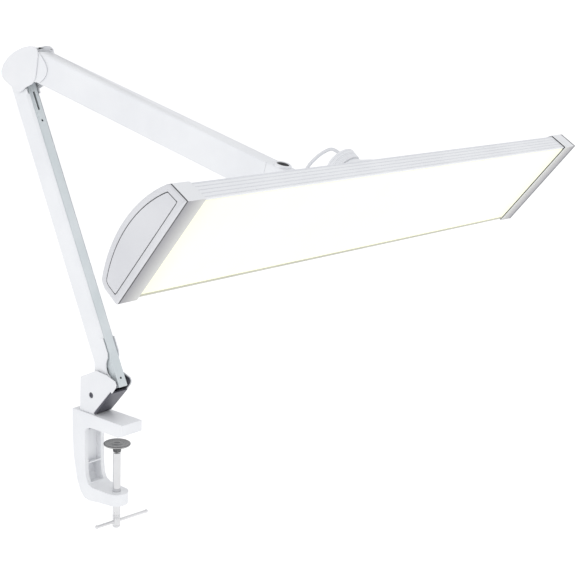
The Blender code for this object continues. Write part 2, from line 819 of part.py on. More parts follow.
def make_upper_inside(mats):
    points = spring_points(UPPER, 50.0, 232.0, 6.0, 4.4, 24, 8)
    wire_tube("upper_spring", points, 0.6, mats["zinc"])
    for name, place in (("upper_spring_pin_inner", 43.0), ("upper_spring_pin_outer", 239.0)):
        centre = UPPER.point(place, 6.0)
        rod(name, 1.8, lift(centre, -SHELL_INNER + GAP), lift(centre, SHELL_INNER - GAP), mats["zinc"], 12)
    route = [UPPER.point(s, -2.8) for s in range(26, 292, 9)]
    wire_tube("upper_arm_wire", [lift(point, 4.6) for point in route], 0.9, mats["cable"], 2)


def make_end_block(mats):
    paint = mats["white_paint"]
    outline = [
        (BLOCK_START, BLOCK_BOTTOM),
        (NOSE_U - 2.0, BLOCK_BOTTOM),
        (NOSE_U, 3.0),
        (NOSE_U, 11.0),
        (NOSE_U - 2.4, 15.0),
        (NOSE_U - 6.0, UPPER_TOP),
        (BLOCK_START, UPPER_TOP),
    ]
    block = prism("arm_end_block", outline, -SHELL_OUTER, SHELL_OUTER, paint, UPPER)
    tongue = [
        (288.0, BLOCK_BOTTOM + 2.0),
        (BLOCK_START + 2.0, BLOCK_BOTTOM + 2.0),
        (BLOCK_START + 2.0, UPPER_TOP - SHEET - GAP),
        (288.0, UPPER_TOP - SHEET - GAP),
    ]
    reach = SHELL_INNER - GAP
    join(block, prism("end_block_tongue", tongue, -reach, reach, paint, UPPER))
    low = lift(UPPER.point(BORE_U, -20.0))
    high = lift(UPPER.point(BORE_U, 30.0))
    drill(block, 6.4 + GAP, low, high, paint, 24)


def make_bush(mats):
    profile = [
        (POST_RADIUS + 0.35, BLOCK_BOTTOM),
        (6.4, BLOCK_BOTTOM),
        (6.4, UPPER_TOP + GAP),
        (BUSH_RADIUS, UPPER_TOP + GAP),
        (BUSH_RADIUS, BUSH_TOP - 0.6),
        (BUSH_RADIUS - 0.6, BUSH_TOP),
        (POST_RADIUS + 0.35, BUSH_TOP),
    ]
    lathe(
        "socket_bush", profile, lift(UPPER.point(BORE_U, 0.0)), BORE_AXIS, mats["white_plastic"], 28, closed=True
    )


# ---------------------------------------------------------------- head link
def link_outline():
    """Side view of the link from under the socket to the tilt fork."""
    boss = UPPER.point(BORE_U, -4.6)
    outline = [
        (boss[0] - 7.0, boss[1] - 3.0),
        (boss[0] + 4.0, boss[1] - 5.8),
        (217.0, boss[1] - 6.0),
        (224.0, boss[1] - 3.0),
    ]
    outline += arc(TILT_PIVOT, 6.6, -50.0, 150.0, 12)
    outline += [
        (220.0, boss[1] + 4.0),
        (214.0, boss[1] + 1.2),
        (boss[0] + 2.0, boss[1] + 1.8),
        (boss[0] - 6.0, boss[1] + 1.6),
    ]
    return outline


def make_pan_link(mats):
    paint = mats["white_paint"]
    origin = lift(UPPER.point(BORE_U, 0.0))
    link = prism("pan_link", link_outline(), -7.6, 7.6, paint, WORLD, origin)
    profile = [(0.0, -9.2), (8.0, -9.2), (8.6, -8.4), (8.6, 0.4), (0.0, 0.4)]
    join(link, lathe("link_boss", profile, origin, BORE_AXIS, paint, 24))
    post = [(0.0, -2.0), (POST_RADIUS, -2.0), (POST_RADIUS, 13.4), (POST_RADIUS - 0.6, 14.0), (0.0, 14.0)]
    join(link, lathe("link_post", post, origin, BORE_AXIS, paint, 24))
    # slot of the fork, open towards the head
    x, z = TILT_PIVOT
    slot = arc((x, z), 9.0, 110.0, 250.0, 8) + [(x + 30.0, z - 20.0), (x + 30.0, z + 30.0)]
    cut(link, prism("fork_slot", slot, -4.2, 4.2, paint))
    drill_across(link, TILT_PIN + GAP, TILT_PIVOT, paint)


def make_tilt_hardware(mats):
    rod("tilt_pin", TILT_PIN, lift(TILT_PIVOT, -7.5), lift(TILT_PIVOT, 7.5), mats["zinc"], 18)
    ring("tilt_washer_left", 2.8, 5.6, lift(TILT_PIVOT, 3.55), 0.4, (0, 1, 0), mats["nylon"])
    ring("tilt_washer_right", 2.8, 5.6, lift(TILT_PIVOT, -3.95), 0.4, (0, 1, 0), mats["nylon"])


def back_point(height, across=0.0):
    """A point over the middle of the head's back, in the XZ plane."""
    return HEAD.point(BACK_MIDDLE[0] - across, BACK_MIDDLE[1] + height)


def make_knuckle(mats):
    """Ribbed collar with a domed top and a tongue that fits the fork."""
    paint = mats["white_paint"]
    base = lift(BACK_CENTRE)
    start = SPIN_PLANE + GAP
    profile = [(0.0, start), (11.6, start)]
    height = start + 0.3
    for _ in range(4):
        profile += [(12.1, height), (12.9, height + 0.4), (12.9, height + 1.2), (12.1, height + 1.6)]
        height += 1.75
    profile += [(12.2, height + 0.5), (10.8, height + 1.2), (0.0, height + 1.5)]
    knuckle = lathe("tilt_knuckle", profile, base, BACK_AXIS, paint, 28, origin=lift(TILT_PIVOT))
    tongue = arc(TILT_PIVOT, 6.2, 150.0, 330.0, 9)
    tongue += [back_point(SPIN_PLANE + 1.2, -9.0), back_point(SPIN_PLANE + 1.2, 4.0)]
    tongue += [back_point(SPIN_PLANE + 7.0, 4.0), back_point(SPIN_PLANE + 7.0, -9.0)]
    join(knuckle, prism("knuckle_tongue", tongue, -3.2, 3.2, paint))
    drill_across(knuckle, TILT_PIN + GAP, TILT_PIVOT, paint)
    drill(knuckle, 2.5 + GAP, lift(back_point(0.0)), lift(back_point(SPIN_PLANE + 5.4)), paint, 16)


def make_lead(mats):
    """Short lead that loops from the link up to the top of the knuckle."""
    route = LEAD_ROUTE
    curve_points = smooth(route, 5)
    wire_tube("head_lead", curve_points, LEAD_DIAMETER / 2, mats["cable"], 2)


def smooth(points, steps):
    """A Catmull-Rom curve through the points, in millimetres."""
    result = []
    padded = [Vector(points[0])] + [Vector(p) for p in points] + [Vector(points[-1])]
    for i in range(1, len(padded) - 2):
        p0, p1, p2, p3 = padded[i - 1:i + 3]
        for k in range(steps):
            t = k / steps
            a = 2 * p1
            b = (p2 - p0) * t
            c = (2 * p0 - 5 * p1 + 4 * p2 - p3) * t * t
            d = (3 * p1 - p0 - 3 * p2 + p3) * t * t * t
            result.append((a + b + c + d) * 0.5)
    result.append(Vector(points[-1]))
    return result


# ---------------------------------------------------------------- head
def head_section(grow=0.0):
    """Section of the end caps: across the front plane and behind it."""
    middle = (50.8, CROWN - CROWN_RADIUS)
    start = math.degrees(math.atan2(18.2 - middle[1], 3.4 - middle[0]))
    stop = math.degrees(math.atan2(18.9 - middle[1], 94.0 - middle[0]))
    outline = [(0.0, 0.0), (2.0, 16.8)]
    outline += arc(middle, CROWN_RADIUS, start, stop, 16)
    outline += [(96.2, 17.2), (HEAD_WIDTH + 0.3, 14.0), (HEAD_WIDTH, 0.0)]
    if grow:
        outline = inset(outline, -grow)
    return outline


def make_housing(mats):
    paint = mats["white_paint"]
    outer = inset(head_section(), CAP_PROUD)
    reach = HEAD_HALF - 8.0
    housing = prism("head_housing", outer, -reach, reach, paint, HEAD)
    inner = inset(head_section(), CAP_PROUD + 1.8)
    inner = [(4.6, 5.0)] + inner[1:-1] + [(HEAD_WIDTH - 4.6, 5.0)]
    cut(housing, prism("housing_inner", inner, -300.0, 300.0, paint, HEAD))
    window = [(3.0, -5.0), (3.0, 4.0), (6.4, 4.0), (6.4, 8.0), (90.2, 8.0), (90.2, 4.0), (93.6, 4.0), (93.6, -5.0)]
    cut(housing, prism("housing_window", window, -300.0, 300.0, paint, HEAD))
    drill(housing, 2.5 + GAP, lift(back_point(-12.0)), lift(back_point(6.0)), paint, 16)
    low = lift(HEAD.point(BACK_MIDDLE[0], 20.0), BUTTON_Y)
    high = lift(HEAD.point(BACK_MIDDLE[0], 40.0), BUTTON_Y)
    drill(housing, BUTTON_RADIUS + GAP, low, high, paint, 24)


def make_button(mats):
    base = lift(HEAD.point(BACK_MIDDLE[0], 0.0), BUTTON_Y)
    crown = CROWN - CAP_PROUD
    profile = [
        (0.0, crown - 7.0),
        (BUTTON_RADIUS + 1.6, crown - 7.0),
        (BUTTON_RADIUS + 1.6, crown - 5.6),
        (BUTTON_RADIUS, crown - 5.6),
        (BUTTON_RADIUS, crown + 0.4),
        (BUTTON_RADIUS - 0.8, crown + 1.2),
        (0.0, crown + 1.2),
    ]
    lathe("power_button", profile, base, BACK_AXIS, mats["white_plastic"], 24, origin=base)


def make_diffuser(mats):
    outline = [(3.6, 1.2), (3.6, 3.6), (93.2, 3.6), (93.2, 1.2)]
    reach = HEAD_HALF - 9.0
    prism("diffuser", outline, -reach, reach, mats["diffuser"], HEAD)


def make_light_engine(mats):
    reach = HEAD_HALF - 14.0
    tray = [(6.0, 11.4), (6.0, 13.0), (90.6, 13.0), (90.6, 11.4)]
    prism("led_tray", tray, -reach, reach, mats["aluminium"], HEAD)
    for number, centre in enumerate((20.0, 48.3, 76.6), start=1):
        strip = [(centre - 6.0, 9.8), (centre - 6.0, 11.0), (centre + 6.0, 11.0), (centre + 6.0, 9.8)]
        prism(f"led_strip_{number}", strip, -reach + 2.0, reach - 2.0, mats["circuit"], HEAD)
    board = [(30.0, 13.6), (30.0, 15.2), (66.0, 15.2), (66.0, 13.6)]
    prism("driver_board", board, 30.0, 96.0, mats["circuit"], HEAD)


def make_end_cap(mats, name, sign):
    plastic = mats["white_plastic"]
    outer = HEAD_HALF - PLATE_THICK - GAP
    low, high = sorted((sign * (HEAD_HALF - CAP_SLEEVE), sign * outer))
    cap = prism(name, head_section(), low, high, plastic, HEAD)
    pocket = inset(head_section(), CAP_PROUD - GAP)
    low, high = sorted((sign * (HEAD_HALF - CAP_SLEEVE - 20.0), sign * (HEAD_HALF - 7.7)))
    cut(cap, prism(name + "_pocket", pocket, low, high, plastic, HEAD))


def make_end_plate(mats, name, sign):
    low, high = sorted((sign * (HEAD_HALF - PLATE_THICK), sign * HEAD_HALF))
    plate = prism(name, head_section(), low, high, mats["white_plastic"], HEAD)
    groove_outer = inset(head_section(), 6.0)
    groove_inner = inset(head_section(), 7.0)
    low, high = sorted((sign * (HEAD_HALF - 0.6), sign * (HEAD_HALF + 2.0)))
    tool = prism(name + "_groove", groove_outer, low, high, mats["white_plastic"], HEAD)
    cut(tool, prism(name + "_island", groove_inner, -300.0, 300.0, mats["white_plastic"], HEAD))
    cut(plate, tool)


def make_head_boss(mats):
    """Flared foot of the turning joint, shaped to the curved back."""
    paint = mats["white_paint"]
    profile = [
        (2.9, -8.0),
        (23.0, -8.0),
        (23.0, 3.6),
        (21.6, 6.0),
        (19.0, 8.6),
        (15.4, 11.8),
        (12.6, 15.2),
        (11.6, SPIN_PLANE),
        (2.9, SPIN_PLANE),
    ]
    boss = lathe("head_boss", profile, lift(BACK_CENTRE), BACK_AXIS, paint, 32, closed=True)
    body = inset(head_section(), CAP_PROUD - GAP)
    cut(boss, prism("boss_body", body, -60.0, 60.0, paint, HEAD))


def make_spin_bolt(mats):
    profile = [
        (0.0, -9.6),
        (5.0, -9.6),
        (5.4, -9.0),
        (5.4, -6.2),
        (2.5, -6.2),
        (2.5, SPIN_PLANE + 4.4),
        (2.1, SPIN_PLANE + 4.8),
        (0.0, SPIN_PLANE + 4.8),
    ]
    lathe("spin_bolt", profile, lift(BACK_CENTRE), BACK_AXIS, mats["zinc"], 16)
    ring("spin_washer", 2.9, 6.4, lift(back_point(-5.9)), 0.9, BACK_AXIS, mats["zinc"], 20)


# ---------------------------------------------------------------- assembly
def build():
    for old in list(bpy.data.objects):
        bpy.data.objects.remove(old, do_unlink=True)
    mats = make_materials()
    make_clamp_frame(mats)
    make_pad(mats)
    make_screw(mats)
    make_bar(mats)
    make_base_bracket(mats)
    for side, sign in (("left", 1), ("right", -1)):
        make_base_cover(mats, f"base_cover_{side}", sign)
        make_cover_screw(mats, f"base_cover_screw_{side}", sign)
        make_elbow_cover(mats, f"elbow_cover_{side}", sign)
        make_end_cap(mats, f"end_cap_{side}", sign)
        make_end_plate(mats, f"end_plate_{side}", sign)
    make_swivel(mats)
    make_grommet(mats)
    make_lower_shell(mats)
    make_lower_channel(mats)
    make_lower_inside(mats)
    make_elbow_bracket(mats)
    make_pin(mats, "base_pin_rear", BASE_REAR, REAR_PIN)
    make_pin(mats, "base_pin_front", BASE_FRONT, FRONT_PIN)
    make_pin(mats, "elbow_pin_rear", ELBOW_REAR, REAR_PIN)
    make_pin(mats, "elbow_pin_front", ELBOW_FRONT, FRONT_PIN)
    make_pin(mats, "elbow_pin_upper", UPPER_PIVOT, UPPER_PIN)
    make_upper_shell(mats)
    make_upper_cover(mats)
    make_upper_inside(mats)
    make_end_block(mats)
    make_bush(mats)
    make_pan_link(mats)
    make_tilt_hardware(mats)
    make_knuckle(mats)
    make_lead(mats)
    make_housing(mats)
    make_button(mats)
    make_diffuser(mats)
    make_light_engine(mats)
    make_head_boss(mats)
    make_spin_bolt(mats)


build()
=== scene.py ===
"""Looks for the clamp-on swing arm desk lamp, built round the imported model."""
import json
import math

import bmesh
import bpy
from mathutils import Matrix, Vector


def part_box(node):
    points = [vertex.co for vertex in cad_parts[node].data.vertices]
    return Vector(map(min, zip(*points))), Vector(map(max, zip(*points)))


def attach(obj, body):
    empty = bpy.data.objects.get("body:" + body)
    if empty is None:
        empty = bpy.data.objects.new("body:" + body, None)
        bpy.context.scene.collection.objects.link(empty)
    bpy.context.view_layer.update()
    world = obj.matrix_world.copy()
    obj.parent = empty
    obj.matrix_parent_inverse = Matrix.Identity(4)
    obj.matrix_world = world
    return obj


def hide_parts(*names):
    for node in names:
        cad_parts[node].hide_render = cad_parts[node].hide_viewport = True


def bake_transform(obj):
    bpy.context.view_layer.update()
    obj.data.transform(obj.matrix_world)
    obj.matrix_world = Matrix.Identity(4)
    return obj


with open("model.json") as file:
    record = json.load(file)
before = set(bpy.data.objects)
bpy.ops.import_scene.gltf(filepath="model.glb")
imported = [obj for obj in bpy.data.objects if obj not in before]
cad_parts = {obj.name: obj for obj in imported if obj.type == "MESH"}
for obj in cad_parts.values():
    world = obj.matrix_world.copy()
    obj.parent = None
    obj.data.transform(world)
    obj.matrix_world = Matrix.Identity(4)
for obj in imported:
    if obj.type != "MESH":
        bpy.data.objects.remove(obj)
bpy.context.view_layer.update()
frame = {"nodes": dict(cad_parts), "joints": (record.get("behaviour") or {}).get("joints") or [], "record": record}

MM = 0.001
UP = Vector((0.0, 0.0, 1.0))
ACROSS = Vector((0.0, 1.0, 0.0))

# camera of the photograph, in metres and millimetres of film
CAMERA_PLACE = Vector((0.850, -0.7876, 0.4249))
CAMERA_FORWARD = Vector((-0.6148, 0.7537, -0.2322))
CAMERA_RIGHT = Vector((0.7680, 0.6392, 0.0414))
LENS = 77.67
SENSOR = 36.0

# studio
WORLD_STRENGTH = 0.90
FLOOR_GLOW = 0.22
FLOOR_DROP = 0.11                # below the clamp screw's foot
FLOOR_REACH = 60.0
BACKDROP_HEIGHT = 3.0
LIGHT_TARGET = (0.0, 0.0, 0.15)
LIGHT_WIDTH = 1.4

# lit sheet
GLOW = 0.80
EDGE_GLOW = 0.86                 # share of the glow left beside the caps
FADE_START = 34.0 * MM           # from the housing's end
FADE_STOP = 10.0 * MM

# end plates, and grey strips painted as shade in the fine grooves of the front top wall
GROOVE_INSET = 4.3               # mm inside the plate's outline
OUTLINE_STEP = 1.2 * MM
FLUTES = (3.0, 6.2, 9.4, 12.6)   # mm behind the head's front
WALL_DEPTH = 16.8                # mm from the front to the back of the sloping wall
WALL_LEAN = 2.0                  # mm that it slopes over that depth
WALL_START = 1.2
TOP_LINE = ((2.85, 15.2), (2.9, 16.4), (3.6, 16.4), (3.6, 15.2))
LIP = ((93.3, 0.7), (94.9, 0.7), (94.9, 2.4), (93.3, 2.4))

# ribbed collar
COLLAR_BOTTOM = 17.6 * MM
COLLAR_RADIUS = 13.0 * MM
COLLAR_CORE = 11.0 * MM
COLLAR_RIBS = 7

# lead between the arm and the head: the route that the CAD gives it, in millimetres
LEAD_DIAMETER = 2.8 * MM
LEAD_ROUTE = [
    (214.6, 0.0, 265.0),
    (216.8, -0.3, 272.4),
    (220.0, -0.6, 280.6),
    (224.4, -0.8, 287.6),
    (230.0, -1.0, 293.4),
    (236.3, -1.0, 298.5),
    (242.4, -0.8, 302.2),
    (247.0, -0.6, 303.6),
    (250.9, -0.4, 302.9),
    (254.4, -0.2, 301.2),
    (257.4, 0.0, 298.9),
]

BODY_OF = {node: body for body, nodes in frame["record"]["behaviour"]["bodies"].items() for node in nodes}
SLOT_OF = {part["node"]: part["material_slot"] for part in frame["record"]["subparts"]}
JOINTS = {joint["name"]: joint for joint in frame["joints"]}


# ---------------------------------------------------------------- places, from the frame
def joint_point(name):
    return Vector(JOINTS[name]["pos_m"])


def joint_axis(name):
    return Vector(JOINTS[name]["axis"]).normalized()


def middle(node):
    low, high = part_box(node)
    return (low + high) / 2


def size(node):
    low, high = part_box(node)
    return high - low


BACK = joint_axis("head_spin")                    # out of the head's back
DOWN_FACE = BACK.cross(ACROSS)                    # in the front's plane, towards the lower edge
if DOWN_FACE.z > 0:
    DOWN_FACE = -DOWN_FACE
BORE = joint_axis("head_pan")
UPPER_PIVOT = joint_point("upper_arm_lift")
UPPER_ALONG = (joint_point("head_pan") - UPPER_PIVOT).normalized()
LOWER_PIVOT = joint_point("lower_arm_lean")
LOWER_ALONG = (joint_point("elbow_level") - LOWER_PIVOT).normalized()
LOWER_OUT = LOWER_ALONG.cross(ACROSS)
if LOWER_OUT.x < 0:
    LOWER_OUT = -LOWER_OUT


# ---------------------------------------------------------------- materials
def shader_of(mat):
    return mat.node_tree.nodes["Principled BSDF"]


def noise(tree, scale, detail=3.0, stretch=None):
    """Noise in the piece's own coordinates, in units per metre."""
    coords = tree.nodes.new("ShaderNodeTexCoord")
    texture = tree.nodes.new("ShaderNodeTexNoise")
    texture.inputs["Scale"].default_value = scale
    texture.inputs["Detail"].default_value = detail
    source = coords.outputs["Object"]
    if stretch:
        mapping = tree.nodes.new("ShaderNodeMapping")
        mapping.inputs["Scale"].default_value = stretch
        tree.links.new(source, mapping.inputs["Vector"])
        source = mapping.outputs["Vector"]
    tree.links.new(source, texture.inputs["Vector"])
    return texture


def ramp_between(tree, source, low, high, start=0.35, stop=0.65):
    ramp = tree.nodes.new("ShaderNodeValToRGB")
    ramp.color_ramp.elements[0].position = start
    ramp.color_ramp.elements[1].position = stop
    ramp.color_ramp.elements[0].color = (*low, 1.0)
    ramp.color_ramp.elements[1].color = (*high, 1.0)
    tree.links.new(source, ramp.inputs["Fac"])
    return ramp


def surface(name, low, high, roughness, metallic=0.0, grain=2600.0, bump=0.02, spread=0.04, stretch=None):
    """A finish whose colour drifts between two tones, with a fine grain in its gloss and relief."""
    mat = bpy.data.materials.new(name)
    mat.use_nodes = True
    tree = mat.node_tree
    shader = shader_of(mat)
    shader.inputs["Metallic"].default_value = metallic
    drift = noise(tree, 22.0, 4.0, stretch)
    tones = ramp_between(tree, drift.outputs["Fac"], low, high)
    tree.links.new(tones.outputs["Color"], shader.inputs["Base Color"])
    fine = noise(tree, grain, 2.0, stretch)
    gloss = tree.nodes.new("ShaderNodeMapRange")
    gloss.inputs["To Min"].default_value = roughness - spread
    gloss.inputs["To Max"].default_value = roughness + spread
    tree.links.new(fine.outputs["Fac"], gloss.inputs["Value"])
    tree.links.new(gloss.outputs["Result"], shader.inputs["Roughness"])
    relief = tree.nodes.new("ShaderNodeBump")
    relief.inputs["Strength"].default_value = bump
    relief.inputs["Distance"].default_value = 0.0002
    tree.links.new(fine.outputs["Fac"], relief.inputs["Height"])
    tree.links.new(relief.outputs["Normal"], shader.inputs["Normal"])
    return mat


def glow_material():
    """Opal sheet lit from behind: bright in the middle, fading towards the two end caps."""
    mat = surface("opal_diffuser", (0.30, 0.30, 0.28), (0.32, 0.32, 0.30), 0.45, grain=1500.0, bump=0.03)
    tree = mat.node_tree
    shader = shader_of(mat)
    coords = tree.nodes.new("ShaderNodeTexCoord")
    split = tree.nodes.new("ShaderNodeSeparateXYZ")
    tree.links.new(coords.outputs["Object"], split.inputs["Vector"])
    distance = tree.nodes.new("ShaderNodeMath")
    distance.operation = "ABSOLUTE"
    tree.links.new(split.outputs["Y"], distance.inputs[0])
    fade = tree.nodes.new("ShaderNodeMapRange")
    fade.interpolation_type = "SMOOTHSTEP"
    half = size("head_housing").y / 2
    fade.inputs["From Min"].default_value = half - FADE_START
    fade.inputs["From Max"].default_value = half - FADE_STOP
    fade.inputs["To Min"].default_value = GLOW
    fade.inputs["To Max"].default_value = GLOW * EDGE_GLOW
    tree.links.new(distance.outputs["Value"], fade.inputs["Value"])
    tree.links.new(fade.outputs["Result"], shader.inputs["Emission Strength"])
    shader.inputs["Emission Color"].default_value = (1.0, 1.0, 0.745, 1.0)
    return mat


def cap_painted_shade_material():
    """Cap moulding with painted shade and glow on its front face: dark beside the end plate, lighter beside the
    lit sheet.
    """
    mat = surface("cap_moulding_painted_shade", (0.78, 0.79, 0.81), (0.82, 0.825, 0.845), 0.42, bump=0.04)
    tree = mat.node_tree
    shader = shader_of(mat)
    paint = shader.inputs["Base Color"].links[0].from_socket
    coords = tree.nodes.new("ShaderNodeTexCoord")
    split = tree.nodes.new("ShaderNodeSeparateXYZ")
    tree.links.new(coords.outputs["Object"], split.inputs["Vector"])
    distance = tree.nodes.new("ShaderNodeMath")
    distance.operation = "ABSOLUTE"
    tree.links.new(split.outputs["Y"], distance.inputs[0])
    place_along = tree.nodes.new("ShaderNodeMapRange")
    end = size("head_housing").y / 2
    place_along.inputs["From Min"].default_value = end - 11.0 * MM
    place_along.inputs["From Max"].default_value = end + 5.0 * MM
    tree.links.new(distance.outputs["Value"], place_along.inputs["Value"])
    # painted shade: a lighter tone beside the lit sheet, where its glow is painted in, and a dark tone beside the
    # end plate
    inner, outer = (0.62, 0.62, 0.60), (0.30, 0.295, 0.32)
    shade = ramp_between(tree, place_along.outputs["Result"], inner, outer, 0.0, 1.0)
    facing = tree.nodes.new("ShaderNodeVectorMath")
    facing.operation = "DOT_PRODUCT"
    facing.inputs[1].default_value = -BACK
    tree.links.new(coords.outputs["Normal"], facing.inputs[0])
    front = tree.nodes.new("ShaderNodeMapRange")
    front.inputs["From Min"].default_value = 0.75
    front.inputs["From Max"].default_value = 0.95
    tree.links.new(facing.outputs["Value"], front.inputs["Value"])
    mix = tree.nodes.new("ShaderNodeMix")
    mix.data_type = "RGBA"
    tree.links.new(front.outputs["Result"], mix.inputs["Factor"])
    colours = [socket for socket in mix.inputs if socket.type == "RGBA"]
    tree.links.new(paint, colours[0])
    tree.links.new(shade.outputs["Color"], colours[1])
    result = [socket for socket in mix.outputs if socket.type == "RGBA"][0]
    tree.links.new(result, shader.inputs["Base Color"])
    return mat


def turned_metal(name, low, high, roughness, centre):
    """Metal with fine rings about the vertical through a point."""
    mat = surface(name, low, high, roughness, 1.0, grain=900.0, bump=0.05)
    tree = mat.node_tree
    coords = tree.nodes.new("ShaderNodeTexCoord")
    mapping = tree.nodes.new("ShaderNodeMapping")
    mapping.inputs["Location"].default_value = (-centre.x, -centre.y, 0.0)
    rings = tree.nodes.new("ShaderNodeTexWave")
    rings.wave_type = "RINGS"
    rings.rings_direction = "Z"
    rings.inputs["Scale"].default_value = 320.0
    rings.inputs["Distortion"].default_value = 1.5
    tree.links.new(coords.outputs["Object"], mapping.inputs["Vector"])
    tree.links.new(mapping.outputs["Vector"], rings.inputs["Vector"])
    tones = ramp_between(tree, rings.outputs["Fac"], low, high, 0.2, 0.8)
    tree.links.new(tones.outputs["Color"], shader_of(mat).inputs["Base Color"])
    return mat


def make_materials():
    return {
        "white_paint": surface(
            "white_powder_coat", (0.80, 0.81, 0.835), (0.84, 0.85, 0.87),
            0.36, bump=0.06,
        ),
        "white_plastic": surface(
            "white_moulding", (0.79, 0.80, 0.825), (0.83, 0.835, 0.855),
            0.42, bump=0.04,
        ),
        "silver_paint": surface(
            "silver_channel", (0.60, 0.65, 0.67), (0.67, 0.71, 0.73),
            0.42, 0.15, bump=0.06,
        ),
        "dark_steel": surface(
            "dark_bracket", (0.075, 0.075, 0.095), (0.13, 0.13, 0.155),
            0.38, 0.5, bump=0.08,
        ),
        "zinc": surface("zinc_plate", (0.52, 0.53, 0.55), (0.66, 0.66, 0.67), 0.3, 1.0, bump=0.05),
        "chrome": surface(
            "polished_chrome", (0.66, 0.66, 0.67), (0.74, 0.74, 0.75),
            0.09, 1.0, bump=0.01, spread=0.02,
        ),
        "pad_steel": turned_metal(
            "turned_pad", (0.10, 0.10, 0.105), (0.36, 0.36, 0.36),
            0.3, middle("pressure_pad"),
        ),
        "cap": cap_painted_shade_material(),
        "plate": surface("end_plate_moulding", (0.65, 0.655, 0.685), (0.69, 0.695, 0.72), 0.45, bump=0.10),
        # grey for strips that are painted shade in the housing's grooves
        "flute": surface("fluting_painted_shade", (0.70, 0.71, 0.74), (0.74, 0.75, 0.78), 0.45),
        # near-black stand-in for the shade inside the socket's bore: painted shade
        "dark": surface("socket_bore_painted_shade", (0.008, 0.008, 0.01), (0.016, 0.016, 0.018), 0.8),
        # near-black for strips that are painted shade in grooves and seams
        "gap_painted_shade": surface("painted_gap_shade", (0.05, 0.05, 0.055), (0.09, 0.09, 0.095), 0.6),
        "lip": surface("lens_lip", (0.50, 0.50, 0.42), (0.56, 0.56, 0.47), 0.45),
        "nylon": surface("black_nylon", (0.02, 0.02, 0.022), (0.04, 0.04, 0.042), 0.5),
        "diffuser": glow_material(),
        "aluminium": surface(
            "plain_aluminium", (0.66, 0.67, 0.69), (0.74, 0.75, 0.76),
            0.36, 1.0, stretch=(1, 14, 1),
        ),
        "circuit": surface("circuit_board", (0.78, 0.80, 0.76), (0.86, 0.87, 0.84), 0.5, bump=0.03),
        "cable": surface("cable_sheath", (0.70, 0.71, 0.74), (0.76, 0.77, 0.79), 0.4, bump=0.05),
    }


MATS = make_materials()


# ---------------------------------------------------------------- pieces
def place(obj, *nodes, body=None, slot=None):
    """Let a visual piece ride with its CAD nodes' body, in their place."""
    first = nodes[0] if nodes else None
    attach(obj, body or BODY_OF[first])
    if nodes:
        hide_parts(*nodes)
    return obj


def new_object(name, mesh, mat):
    mesh.materials.clear()
    mesh.materials.append(mat)
    obj = bpy.data.objects.new(name, mesh)
    bpy.context.scene.collection.objects.link(obj)
    return obj


def closed_object(name, bm, mat):
    """An object from a finished bmesh, with all of its faces pointing out."""
    bmesh.ops.recalc_face_normals(bm, faces=bm.faces)
    mesh = bpy.data.meshes.new(name)
    bm.to_mesh(mesh)
    bm.free()
    return new_object(name, mesh, mat)


def bridge(bm, first, second):
    """A band of faces between two loops of as many vertices."""
    for i in range(len(first)):
        j = (i + 1) % len(first)
        bm.faces.new((first[i], first[j], second[j], second[i]))


def smooth(obj, angle):
    obj.data.shade_smooth()
    obj.data.set_sharp_from_angle(angle=math.radians(angle))


def cleaned(node):
    """The node's mesh as a bmesh with its flat faces merged."""
    bm = bmesh.new()
    bm.from_mesh(frame["nodes"][node].data)
    bmesh.ops.remove_doubles(bm, verts=bm.verts, dist=2e-6)
    bmesh.ops.dissolve_limit(bm, angle_limit=math.radians(0.8), verts=bm.verts, edges=bm.edges)
    return bm


def round_edges(bm, edges, radius, segments=5):
    bmesh.ops.bevel(
        bm,
        geom=edges,
        offset=radius,
        offset_type="OFFSET",
        segments=segments,
        profile=0.5,
        affect="EDGES",
        clamp_overlap=True,
    )


def refined(node, bevel, chosen=None, radius=0.0, segments=3, mat=None):
    """A node with chosen edges rounded by a radius and all other corners by a small bevel."""
    bm = cleaned(node)
    if chosen:
        edges = [edge for edge in bm.edges if chosen(edge)]
        round_edges(bm, edges, radius)
    mesh = bpy.data.meshes.new(f"{node}_finish")
    bm.to_mesh(mesh)
    bm.free()
    obj = new_object(f"{node}_finish", mesh, MATS[mat or SLOT_OF[node]])
    if bevel:
        modifier = obj.modifiers.new("edges", "BEVEL")
        modifier.width = bevel
        modifier.segments = segments
        modifier.limit_method = "ANGLE"
        modifier.angle_limit = math.radians(34)
        modifier.use_clamp_overlap = True
        modifier.harden_normals = True
    smooth(obj, 40.0)
    return place(obj, node)


def lathe(name, profile, base, axis, mat, segments=96):
    """Turn (radius, height) points about an axis, in metres."""
    bm = bmesh.new()
    axis = axis.normalized()
    side = axis.orthogonal().normalized()
    other = axis.cross(side)
    rings = []
    for radius, height in profile:
        centre = base + axis * height
        if radius < 1e-7:
            rings.append([bm.verts.new(centre)])
            continue
        ring = []
        for k in range(segments):
            angle = 2 * math.pi * k / segments
            ring.append(bm.verts.new(centre + (side * math.cos(angle) + other * math.sin(angle)) * radius))
        rings.append(ring)
    for lower, upper in zip(rings, rings[1:]):
        for k in range(segments):
            j = (k + 1) % segments
            if len(lower) == 1:
                bm.faces.new((lower[0], upper[j], upper[k]))
            elif len(upper) == 1:
                bm.faces.new((lower[k], lower[j], upper[0]))
            else:
                bm.faces.new((lower[k], lower[j], upper[j], upper[k]))
    obj = closed_object(name, bm, mat)
    smooth(obj, 38.0)
    return obj


def rounded(profile, radius, steps=4):
    """Round the corners of an open profile of (radius, height) points."""
    result = [profile[0]]
    for before, here, after in zip(profile, profile[1:], profile[2:]):
        p0, p1, p2 = Vector(before), Vector(here), Vector(after)
        first, second = p0 - p1, p2 - p1
        reach = min(radius, first.length * 0.45, second.length * 0.45)
        a = p1 + first.normalized() * reach
        b = p1 + second.normalized() * reach
        for k in range(steps + 1):
            t = k / steps
            point = a * (1 - t) ** 2 + p1 * 2 * t * (1 - t) + b * t ** 2
            result.append((point.x, point.y))
    result.append(profile[-1])
    return result


